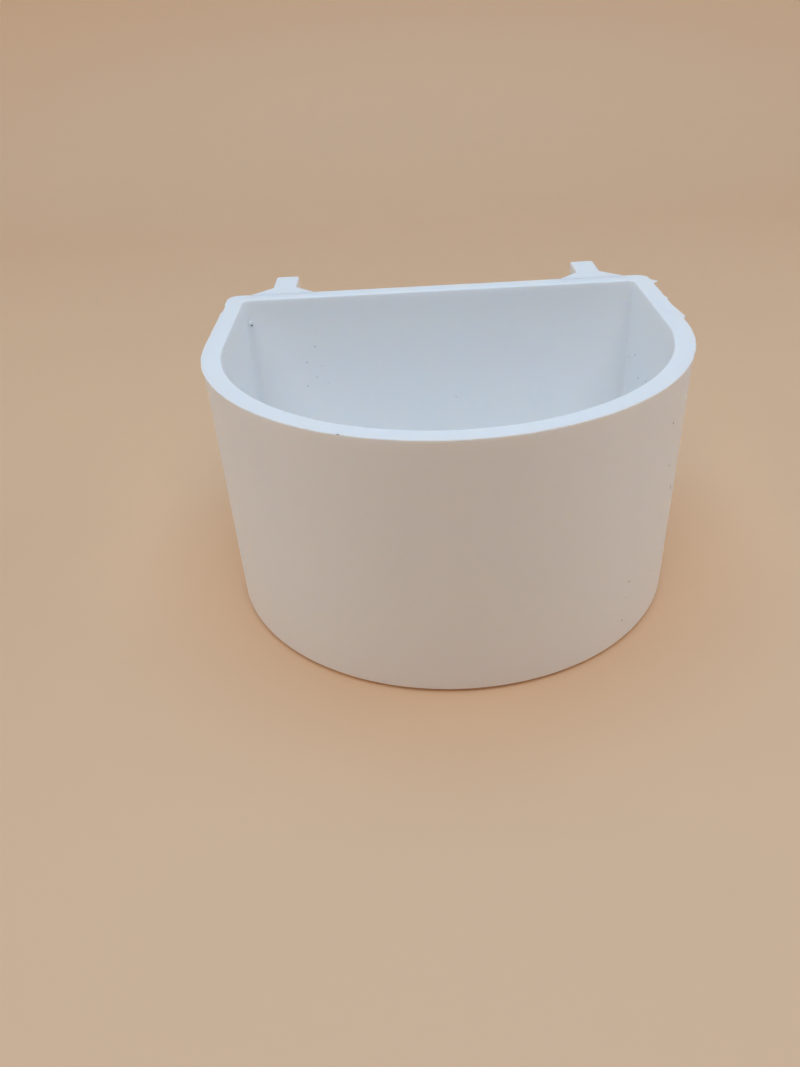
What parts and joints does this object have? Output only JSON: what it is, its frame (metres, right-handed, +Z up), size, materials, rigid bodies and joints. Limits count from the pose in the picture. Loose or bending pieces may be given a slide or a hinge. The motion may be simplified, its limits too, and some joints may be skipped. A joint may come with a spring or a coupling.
{
  "type": "seed cup",
  "caption": "Plastic seed cup with a round front, straight sides and a flat back, hung on a cage bar by hooks behind its rim.",
  "frame": {"origin": "on the underside of the base, at the centre of the round front", "axes": "+Z up, -Y out of the round front, +Y out of the flat back towards the hooks, +X to the right seen from the front"},
  "size_m": [0.0794, 0.0782, 0.044],
  "materials": {
    "white_plastic": "satin, as moulded"
  },
  "bodies": {
    "root": {"cup_body": "white_plastic", "left_hook": "white_plastic", "right_hook": "white_plastic"}
  },
  "joints": []
}
